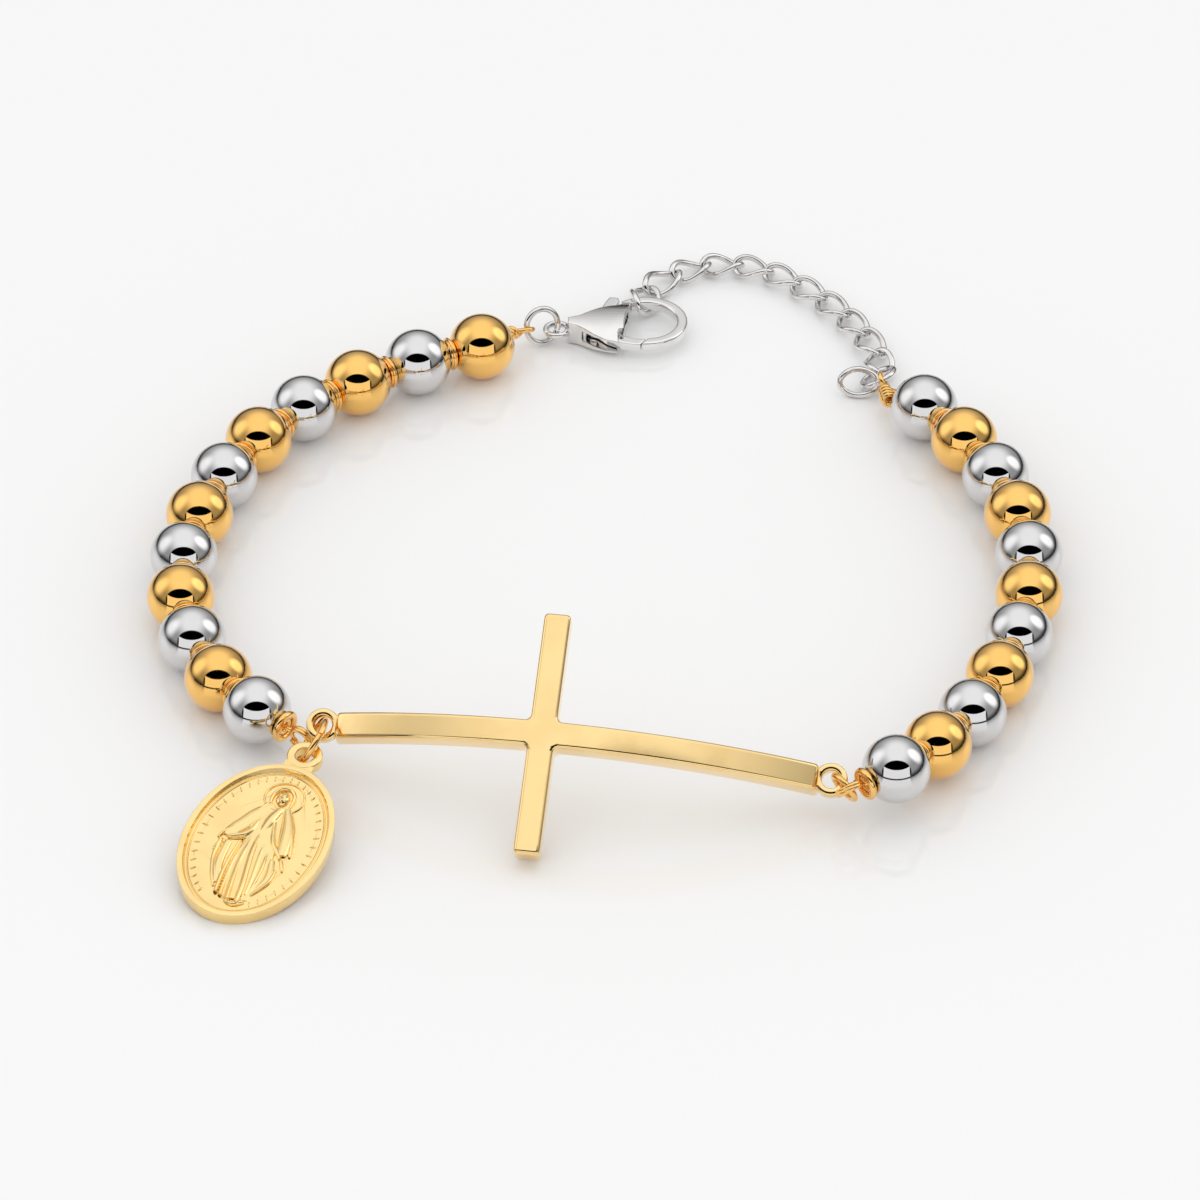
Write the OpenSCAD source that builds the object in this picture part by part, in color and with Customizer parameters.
// Beaded bracelet lying in a closed loop on a table: two strings of round beads in gold and steel,
// a sideways cross between them in front, an oval medal beside it, and a sprung clasp with an
// extension chain behind. Millimetres. The table is at Z = 0.

/* [Part] */

/* [Beads] */
// Diameter of every bead
bead_d = 6; // [4:0.1:8]
// Diameter of the bore through every bead
bore_d = 1.3; // [1.1:0.05:1.6]
// Width of the countersink at both ends of a bore
sink_w = 0.3; // [0.1:0.05:0.5]
// Distance between bead centres on the left string
left_pitch = 6.25; // [6.15:0.01:6.5]
// Distance between bead centres on the right string
right_pitch = 6.08; // [6.05:0.01:6.5]

/* [Wire and rings] */
// Diameter of the stringing wire
wire_d = 0.45; // [0.3:0.05:0.5]
// Diameter of the wire of the small rings between the beads
spacer_wire = 0.56; // [0.4:0.02:0.6]
// Middle diameter of the small rings between the beads
spacer_d = 2.7; // [2.4:0.1:3.2]
// Diameter of the wire of the small ring at both cross ends of the strings
end_spacer_wire = 0.72; // [0.5:0.02:0.76]

/* [Cross] */
// Straight distance between the two ends of the long bar
cross_chord = 41.93; // [30:0.01:50]
// Height of the bow of the long bar
cross_bow = 4.76; // [2:0.01:8]
// Width of both bars
cross_w = 2.33; // [1.5:0.01:4]
// Thickness of both bars
cross_t = 2.4; // [1:0.1:3]
// Distance of the short bar from the middle of the long bar
cross_off = -2.63; // [-8:0.01:8]
// Length of the upper half of the short bar
cross_up = 10.7; // [6:0.1:14]
// Length of the lower half of the short bar
cross_down = 10.75; // [6:0.05:14]
// Roll of the cross's face towards the front, degrees
cross_roll = 38; // [20:1:50]
// Inner radius of the loops at the bar ends
cross_loop_in = 0.8; // [0.7:0.05:1]
// Outer radius of the loops at the bar ends
cross_loop_out = 1.45; // [1.3:0.05:1.6]

/* [Medal] */
// Width of the medal
medal_w = 12.5; // [10:0.1:16]
// Length of the medal without its lug
medal_l = 17.9; // [14:0.1:22]
// Thickness of the medal at its rim
medal_t = 1.1; // [0.8:0.1:2]
// Depth of the medal's field below its rim
medal_sink = 0.4; // [0.2:0.05:0.6]

/* [Clasp] */
// Thickness of the clasp's cheeks at their crown
clasp_t = 2.3; // [2:0.1:3]
// Height of the slot that the lever turns in
slot_h = 1; // [0.8:0.05:1.2]
// Thickness of the lever
lever_t = 0.84; // [0.6:0.02:0.9]
// Diameter of the pin that the lever turns on
pin_d = 0.9; // [0.7:0.05:1.2]
// Diameter of the bore of the lever
lever_bore = 1; // [0.8:0.05:1.3]
// Angle of the lever from its shut place, degrees
lever_open = 0; // [0:1:35]

/* [Chain] */
// Diameter of the wire of the chain links
link_wire = 0.55; // [0.45:0.05:0.6]
// Half the width of a link, middle to middle of its wire
link_half_w = 1.2; // [1.1:0.05:1.4]
// Overlap of neighbouring links, middle to middle of their wires
link_lap = 0.66; // [0.6:0.02:0.8]
// Twist of a link from one end to the other, degrees
link_twist = 90; // [60:5:90]

/* [Hidden] */
$fn = 48;
GOLD = [0.83, 0.62, 0.28];
STEEL = [0.78, 0.78, 0.79];
home = [-0.515, -2.705, 0];

// Heading of the string after its first i bends
function heading(start, bends, i) = i == 0 ? start : heading(start, bends, i - 1) + bends[i - 1];

// Unit vector with a heading and a climb
function aimed(head, climb) = [cos(head) * cos(climb), sin(head) * cos(climb), sin(climb)];

// Centre of bead i of a string
function trail(p, head, bends, climbs, pitch, i) = i == 0 ? p
    : trail(p, head, bends, climbs, pitch, i - 1)
        + pitch * aimed(heading(head, bends, i - 1), climbs[i - 1]);

function unit(v) = v / norm(v);

left_bends = [8, 9, 11, 11, 9, 8, 10, 12, 12, 11];
left_climbs = [0, 0, 0, 0, 0, 0, 0, 0, 0, 0, 4];
right_bends = [-8.3, -8.9, -9.4, -9.3, -8.5, -7.5, -6.9, -6.7, -6.6];
right_climbs = [0, 0, 0, 0, 0, 0, 0, 0, 4, 9.5];
left_beads = [for (i = [0:11]) trail([-10.7, 34.7, 3], 203, left_bends, left_climbs, left_pitch, i)];
right_beads = [for (i = [0:10]) trail([29.14, 25.18, 3], -55.7, right_bends, right_climbs, right_pitch, i)];

// Wire loops at the string ends: middle and normal
clasp_loop = [-6.84, 38.8, 2.1];
clasp_loop_n = aimed(-71.2, -68.1);
left_loop = [-25.56, -24.07, 2.9];
left_loop_n = aimed(-130.5, -10.4);
chain_loop = [25.443, 30.822, 1.756];
chain_loop_n = aimed(11.3, 15.6);
right_loop = [21.48, -33.04, 3.99];
right_loop_n = aimed(129.3, 40.7);

// Direction of the bore of each bead, halfway between the directions to its neighbours
function bores(first, beads, last) = [for (i = [0:len(beads) - 1])
    let (before = i == 0 ? first : beads[i - 1], after = i == len(beads) - 1 ? last : beads[i + 1])
    unit(unit(beads[i] - before) + unit(after - beads[i]))];

left_bores = bores(clasp_loop, left_beads, left_loop);
right_bores = bores(chain_loop, right_beads, right_loop);

// Joints between chain links
chain_joints = [[4.45, 46.84], [6.9, 49.3], [9.7, 50.6], [12.7, 50.7], [15.5, 49.6], [18, 47.6],
    [20.3, 45.2], [22.3, 42.5], [23.9, 39.6], [25.17, 36.47], [25.38, 33.43]];
chain_z = 0.9;

// Hook: middle of its ring, measured from the eye of the clasp
hook_c = [8.1, 1.05];
hook_r = 3.3;
pivot = [3.6, 0.3];
clasp_eye = [-3.92, 39.84, 1.22];
clasp_yaw = -1;

// Turns a child's Z axis to a direction
module aim(p, d) {
    translate(p) rotate([0, acos(d[2] / norm(d)), atan2(d[1], d[0])]) children();
}

// Round wire bent into a ring
module hoop(middle_r, wire) {
    rotate_extrude() translate([middle_r, 0]) circle(d = wire);
}

// Direction of a path at point i
function along(path, i, closed) = let (n = len(path),
    a = closed ? path[(i + n - 1) % n] : path[max(i - 1, 0)],
    b = closed ? path[(i + 1) % n] : path[min(i + 1, n - 1)],
    p = path[i])
    a == p ? unit(b - p) : b == p ? unit(p - a) : unit(unit(p - a) + unit(b - p));

// The part of v at right angles to t
function square_to(v, t) = unit(v - (v * t) * t);

// Side direction carried along an open path from point i to the end
function carried(path, i, side) = i >= len(path) ? []
    : let (s = square_to(side, along(path, i, false))) concat([s], carried(path, i + 1, s));

// Tube with flat sides along a path; side gives one direction across it at every point
module tube(path, side, d, sides, closed) {
    n = len(path);
    points = [for (i = [0:n - 1])
        let (t = along(path, i, closed), u = square_to(side[i], t), v = cross(t, u))
        for (j = [0:sides - 1]) path[i] + d / 2 * (u * cos(360 * j / sides) + v * sin(360 * j / sides))];
    walls = [for (i = [0:n - (closed ? 1 : 2)]) for (j = [0:sides - 1])
        let (a = i * sides + j, b = i * sides + (j + 1) % sides, c = ((i + 1) % n) * sides + j,
            e = ((i + 1) % n) * sides + (j + 1) % sides)
        for (face = [[a, c, e], [a, e, b]]) face];
    ends = closed ? [] : [[for (j = [0:sides - 1]) j], [for (j = [sides - 1:-1:0]) (n - 1) * sides + j]];
    polyhedron(points = points, faces = concat(walls, ends), convexity = 8);
}

// Point of a wire loop: c its middle, u the way the wire comes in, n its normal
function in_loop(c, u, n, p) = c + u * p[0] + cross(n, u) * p[1] + n * p[2];

// Open loop at the end of a wire, from the bead to its free end
function open_loop(r) = let (bend = 0.4, x = -sqrt(r * r + 2 * r * bend), lead = asin(bend / (r + bend)))
    concat([for (a = [-90:18:-lead - 6]) [x + bend * cos(a), bend + bend * sin(a), 0]],
        [for (i = [0:20]) let (a = 180 - lead - i * (335 - lead) / 20) [r * cos(a), r * sin(a), 0]]);

// Closed loop at the end of a wire, which then wraps round the wire beside the bead
function wrapped_loop(r, turns) = let (bend = 0.35, x = -sqrt(r * r + 2 * r * bend),
    lead = asin(bend / (r + bend)), h = wire_d + 0.04, cross_x = x - 0.42,
    leave = acos(-r / cross_x), step = wire_d + 0.03)
    concat([for (a = [-90:18:-lead - 6]) [x + bend * cos(a), bend + bend * sin(a), 0]],
        [for (i = [0:16]) let (a = 180 - lead - i * (leave + 180 - lead) / 16) [r * cos(a), r * sin(a),
            h * 0.75 * max(0, i - 3) / 13]],
        [for (i = [1:turns * 14]) let (a = 90 - i * 360 / 14)
            [cross_x - step * i / 14, h * cos(a), h * sin(a)]]);

// Loop points placed at the end of a string
function loop_at(bead, c, n, points) = let (u = unit((c - bead) - ((c - bead) * n) * n))
    [for (p = points) in_loop(c, u, n, p)];

function backwards(list) = [for (i = [len(list) - 1:-1:0]) list[i]];

// Points where the wire enters and leaves each bead
function through(beads, axes) = [for (i = [0:len(beads) - 1]) for (side = [-1, 1])
    beads[i] + side * 0.46 * bead_d * axes[i]];

left_path = concat(
    backwards(loop_at(left_beads[0], clasp_loop, clasp_loop_n, wrapped_loop(0.75, 2))),
    through(left_beads, left_bores),
    loop_at(left_beads[11], left_loop, left_loop_n, open_loop(1.1)));
right_path = concat(
    backwards(loop_at(right_beads[0], chain_loop, chain_loop_n, wrapped_loop(0.8, 4))),
    through(right_beads, right_bores),
    loop_at(right_beads[10], right_loop, right_loop_n, open_loop(1.1)));

module string_wire(path) {
    tube(path, carried(path, 0, [0.1, 0.2, 1]), wire_d, 8, false);
}

module wire_left() color(GOLD) translate(home) string_wire(left_path);

module wire_right() color(GOLD) translate(home) string_wire(right_path);

// Drilled bead with countersunk bore
module bead(p, d) {
    mouth = sqrt(bead_d * bead_d - bore_d * bore_d) / 2;
    translate(home) aim(p, d) difference() {
        sphere(d = bead_d);
        cylinder(d = bore_d, h = bead_d + 2, center = true);
        for (side = [0, 180]) rotate([side, 0, 0]) translate([0, 0, mouth - sink_w])
            cylinder(r1 = bore_d / 2, r2 = bore_d / 2 + 2 * sink_w, h = 2 * sink_w);
    }
}

module bead_left_01() color(GOLD) bead(left_beads[0], left_bores[0]);
module bead_left_02() color(STEEL) bead(left_beads[1], left_bores[1]);
module bead_left_03() color(GOLD) bead(left_beads[2], left_bores[2]);
module bead_left_04() color(STEEL) bead(left_beads[3], left_bores[3]);
module bead_left_05() color(GOLD) bead(left_beads[4], left_bores[4]);
module bead_left_06() color(STEEL) bead(left_beads[5], left_bores[5]);
module bead_left_07() color(GOLD) bead(left_beads[6], left_bores[6]);
module bead_left_08() color(STEEL) bead(left_beads[7], left_bores[7]);
module bead_left_09() color(GOLD) bead(left_beads[8], left_bores[8]);
module bead_left_10() color(STEEL) bead(left_beads[9], left_bores[9]);
module bead_left_11() color(GOLD) bead(left_beads[10], left_bores[10]);
module bead_left_12() color(STEEL) bead(left_beads[11], left_bores[11]);
module bead_right_01() color(STEEL) bead(right_beads[0], right_bores[0]);
module bead_right_02() color(GOLD) bead(right_beads[1], right_bores[1]);
module bead_right_03() color(STEEL) bead(right_beads[2], right_bores[2]);
module bead_right_04() color(GOLD) bead(right_beads[3], right_bores[3]);
module bead_right_05() color(STEEL) bead(right_beads[4], right_bores[4]);
module bead_right_06() color(GOLD) bead(right_beads[5], right_bores[5]);
module bead_right_07() color(STEEL) bead(right_beads[6], right_bores[6]);
module bead_right_08() color(GOLD) bead(right_beads[7], right_bores[7]);
module bead_right_09() color(STEEL) bead(right_beads[8], right_bores[8]);
module bead_right_10() color(GOLD) bead(right_beads[9], right_bores[9]);
module bead_right_11() color(STEEL) bead(right_beads[10], right_bores[10]);

// Small rings between the beads of one string
module spacers(beads) {
    for (i = [0:len(beads) - 2])
        aim((beads[i] + beads[i + 1]) / 2, beads[i + 1] - beads[i]) hoop(spacer_d / 2, spacer_wire);
}

// Thicker small ring between the last bead and the cross
module end_spacer(p, toward) {
    d = unit(toward - p);
    aim(p + d * (bead_d / 2 + 0.2), d) hoop(1.2, end_spacer_wire);
}

module spacers_left() color(GOLD) translate(home) {
    spacers(left_beads);
    end_spacer(left_beads[11], left_loop);
}

module spacers_right() color(GOLD) translate(home) {
    spacers(right_beads);
    end_spacer(right_beads[10], right_loop);
}

// Flat ring plate with its hole
module eyelet(inner_r, outer_r, h) {
    difference() {
        cylinder(r = outer_r, h = h, center = true);
        cylinder(r = inner_r, h = h + 1, center = true);
    }
}

// Bar seen from above, with rounded corners
module bar_plan(x1, x2, y1, y2, r) {
    translate([x1 + r, y1]) square([x2 - x1 - 2 * r, y2 - y1]);
    translate([x1, y1 + r]) square([x2 - x1, y2 - y1 - 2 * r]);
    for (x = [x1 + r, x2 - r]) for (y = [y1 + r, y2 - r]) translate([x, y]) circle(r = r);
}

module cross_plan() {
    fillet = 0.4;
    bar_plan(-cross_chord / 2, cross_chord / 2, -cross_w / 2, cross_w / 2, 0.3);
    translate([cross_off, 0]) {
        bar_plan(-cross_w / 2, cross_w / 2, -cross_down, cross_up, 0.3);
        difference() {
            square(cross_w + 2 * fillet, center = true);
            for (x = [-1, 1]) for (y = [-1, 1])
                translate([x, y] * (cross_w / 2 + fillet)) circle(r = fillet);
        }
    }
}

module cross() color(GOLD) translate(home) {
    r = (cross_chord * cross_chord / 4 + cross_bow * cross_bow) / (2 * cross_bow);
    translate([-2.06, -28.53, 4.915]) rotate([cross_roll, 1.6, -8.06]) difference() {
        union() {
            intersection() {
                translate([0, 0, cross_bow - r]) rotate([90, 0, 0]) difference() {
                    cylinder(r = r, h = 40, center = true, $fn = 96);
                    cylinder(r = r - cross_t, h = 42, center = true, $fn = 96);
                }
                translate([0, 0, -4]) linear_extrude(14) cross_plan();
            }
            for (side = [-1, 1]) translate([side * (cross_chord / 2 + 1.1), 0, -0.9])
                cylinder(r = cross_loop_out, h = 1.2, center = true);
        }
        for (side = [-1, 1]) translate([side * (cross_chord / 2 + 1.1), 0, -0.9])
            cylinder(r = cross_loop_in, h = 4, center = true);
    }
}

module cross_ring_right() color(GOLD) translate(home)
    aim([20.96, -31.76, 3.4], aimed(36, 23.8)) hoop(1.3, 0.56);

module medal_ring() color(GOLD) translate(home)
    aim([-24.98, -26.47, 3.98], aimed(-13.1, -30.4)) hoop(2.45, 0.6);

// Oval outline, drawn as many short sides
module oval(inset) {
    polygon([for (a = [0:5:355]) [(medal_w / 2 - inset) * cos(a), (medal_l / 2 - inset) * sin(a)]]);
}

// Oval blob of low relief
module blob(x, y, w, l, turn, h) {
    translate([x, y, 0]) rotate([0, 0, turn]) linear_extrude(h)
        polygon([for (a = [0:20:340]) [w / 2 * cos(a), l / 2 * sin(a)]]);
}

// Raised figure of a robed, veiled woman with a halo, who stands with open hands, in low relief
module figure() {
    linear_extrude(0.28) polygon([[-0.5, 4.3], [-2.1, 1.7], [-3, -0.9], [-2.9, -2.9], [-1.1, -6.6],
        [0.5, -7.4], [1.9, -7], [3.1, -4.1], [3.7, -1.4], [3.2, 0.9], [1.4, 4.1]]);
    blob(0.5, 0.9, 2.9, 6.4, 4, 0.45);
    blob(1, -4.2, 2.6, 6, -4, 0.5);
    blob(0.45, 4.95, 1.5, 1.9, 0, 0.6);
    blob(-2.6, -1.2, 0.8, 1.4, 20, 0.4);
    blob(3.2, -1.5, 0.8, 1.4, -20, 0.4);
    translate([0.5, 5.3, 0]) difference() {
        cylinder(r = 1.9, h = 0.22, $fn = 32);
        translate([0, 0, -1]) cylinder(r = 1.55, h = 3, $fn = 32);
    }
}

module medal() color(GOLD) translate(home)
    translate([-29.37, -38.28, 2.78]) rotate([0, 0, -23]) rotate([10.6, 0, 0]) rotate([0, 4, 0])
    difference() {
        union() {
            difference() {
                translate([0, 0, -medal_t]) linear_extrude(medal_t) oval(0);
                translate([0, 0, -medal_sink]) linear_extrude(2) oval(0.7);
            }
            for (a = [-60:15:255])
                translate([(medal_w / 2 - 1.3) * cos(a), (medal_l / 2 - 1.3) * sin(a), -medal_sink - 0.1])
                    cylinder(r = 0.2, h = 0.25, $fn = 6);
            translate([0, 0, -medal_sink - 0.05]) figure();
            translate([0, 10.45, -0.5]) cylinder(r = 1.55, h = 1, center = true);
            translate([-0.9, medal_l / 2 - 0.5, -1]) cube([1.8, 1.2, 1]);
        }
        translate([0, 10.45, -0.5]) cylinder(r = 0.8, h = 3, center = true);
    }

module clasp_ring() color(STEEL) translate(home)
    aim([-5.26, 39.57, 1.86], aimed(-63.3, 19.6)) hoop(1.57, 0.56);

// Places a piece of the clasp: eye at the origin, tip along +X
module in_clasp() {
    translate(home) translate(clasp_eye) rotate([0, 0, clasp_yaw]) children();
}

module cheek_plan() {
    polygon([[1, -0.45], [1.8, -0.72], [2.4, -1.1], [3.4, -1.9], [4.5, -2.5], [5.5, -2.72], [6.2, -2.4],
        [6.12, -1.2], [6.12, 0], [6.25, 1.4], [6.6, 2.7], [6.75, 3.6], [6.5, 4.1], [5.9, 3.75],
        [5.5, 3.1], [4.8, 2.88], [3.8, 2.35], [2.8, 1.5], [2, 0.8], [1, 0.45]]);
}

// Crowned top and bottom of the cheeks
module crown() {
    r = 9;
    intersection() {
        translate([0, 0.3, clasp_t / 2 - r]) rotate([0, 90, 0]) cylinder(r = r, h = 20, $fn = 96);
        translate([0, 0.3, r - clasp_t / 2]) rotate([0, 90, 0]) cylinder(r = r, h = 20, $fn = 96);
    }
}

// Section of the hook, with rounded corners
module hook_section() {
    translate([-0.5, -0.25]) square([1, 0.5]);
    translate([-0.25, -0.5]) square([0.5, 1]);
    for (x = [-0.25, 0.25]) for (y = [-0.25, 0.25]) translate([x, y]) circle(r = 0.25);
}

module clasp_body() color(STEEL) in_clasp() {
    difference() {
        union() {
            hoop(1, 0.6);
            intersection() {
                translate([0, 0, -2]) linear_extrude(4) cheek_plan();
                crown();
            }
            translate([0.85, -0.45, -0.4]) cube([1, 0.9, 0.8]);
            translate([hook_c[0], hook_c[1], 0]) rotate([0, 0, -100]) rotate_extrude(angle = 250)
                translate([hook_r, 0]) hook_section();
        }
        // Slot for the lever, open at the near side and round its thumb knob
        translate([0, 0, -slot_h / 2]) linear_extrude(slot_h)
            polygon([[2.3, -3.2], [6.6, -3.2], [6.6, 2.3], [5.9, 2.75], [5.75, 4.5], [2.3, 4.5]]);
        // Round cut that lets the lever's tip swing past the hook's end
        translate([pivot[0], pivot[1], -1]) intersection() {
            cylinder(r = 5.12, h = 2);
            translate([2, -6, 0]) cube([6, 5.5, 2]);
        }
    }
    translate([pivot[0], pivot[1], 0]) cylinder(d = pin_d, h = clasp_t - 0.5, center = true);
}

module lever_plan() {
    circle(r = 1);
    polygon([[-0.1, -0.95], [1, -2.05], [2.3, -2.78], [3.4, -3.02], [4.6, -3.05], [4.9, -2.1], [3.6, -2.1],
        [2.4, -1.6], [1.3, -0.7], [0.7, 0.6], [-0.6, 0.75]]);
    polygon([[-0.95, 0.2], [0.6, -0.7], [1.45, 1.9], [1.75, 3], [2.05, 3.9], [1.9, 4.4], [1.1, 4.45],
        [0.7, 3.6], [0.3, 2.4]]);
}

module clasp_lever() color(STEEL) in_clasp()
    translate([pivot[0], pivot[1], 0]) rotate([0, 0, lever_open]) difference() {
        intersection() {
            translate([0, 0, -lever_t / 2]) linear_extrude(lever_t) lever_plan();
            cylinder(r = 5, h = 4, center = true);
        }
        cylinder(d = lever_bore, h = 4, center = true);
    }

// Twisted link: a half its length, roll its turn about its length at the middle
function link_points(a, b, roll, twist) = [for (i = [0:19]) let (x = cos(i * 18), y = b * sin(i * 18),
    turn = roll - twist / 2 * x) [a * x, y * cos(turn), y * sin(turn)]];

// Link at p: a and b half its length and width, turned to a heading, climb and roll
module link_at(p, a, b, head, climb, roll, twist) {
    path = link_points(a, b, roll, twist);
    translate(home) translate(p) rotate([0, -climb, head]) tube(path, path, link_wire, 6, true);
}

// Link i of the row between two joints of the chain
module link(i, roll = 0) {
    p = chain_joints[i];
    q = chain_joints[i + 1];
    link_at([(p[0] + q[0]) / 2, (p[1] + q[1]) / 2, chain_z], (norm(q - p) + link_lap) / 2, link_half_w,
        atan2(q[1] - p[1], q[0] - p[0]), 0, roll, link_twist);
}

module chain_link_01() color(STEEL) link_at([4.02, 45.07, 1.07], 2.18, 1.3, 78.4, -9, 26.8, link_twist);
module chain_link_02() color(STEEL) link(0, 11.5);
module chain_link_03() color(STEEL) link(1);
module chain_link_04() color(STEEL) link(2);
module chain_link_05() color(STEEL) link(3);
module chain_link_06() color(STEEL) link(4);
module chain_link_07() color(STEEL) link(5);
module chain_link_08() color(STEEL) link(6);
module chain_link_09() color(STEEL) link(7);
module chain_link_10() color(STEEL) link(8);
module chain_link_11() color(STEEL) link(9);

module chain_ring() color(STEEL) translate(home)
    aim([25.129, 32.293, 1.272], aimed(148, 59.1)) hoop(1.6, 0.56);

module chain_tail_link() color(STEEL) link_at([23.48, 31.67, 1.16], 1.85, 1.2, 7.35, -6.24, 44.8, 60);

bead_left_01();
bead_left_02();
bead_left_03();
bead_left_04();
bead_left_05();
bead_left_06();
bead_left_07();
bead_left_08();
bead_left_09();
bead_left_10();
bead_left_11();
bead_left_12();
bead_right_01();
bead_right_02();
bead_right_03();
bead_right_04();
bead_right_05();
bead_right_06();
bead_right_07();
bead_right_08();
bead_right_09();
bead_right_10();
bead_right_11();
spacers_left();
spacers_right();
wire_left();
wire_right();
cross();
cross_ring_right();
medal_ring();
medal();
clasp_ring();
clasp_body();
clasp_lever();
chain_link_01();
chain_link_02();
chain_link_03();
chain_link_04();
chain_link_05();
chain_link_06();
chain_link_07();
chain_link_08();
chain_link_09();
chain_link_10();
chain_link_11();
chain_ring();
chain_tail_link();
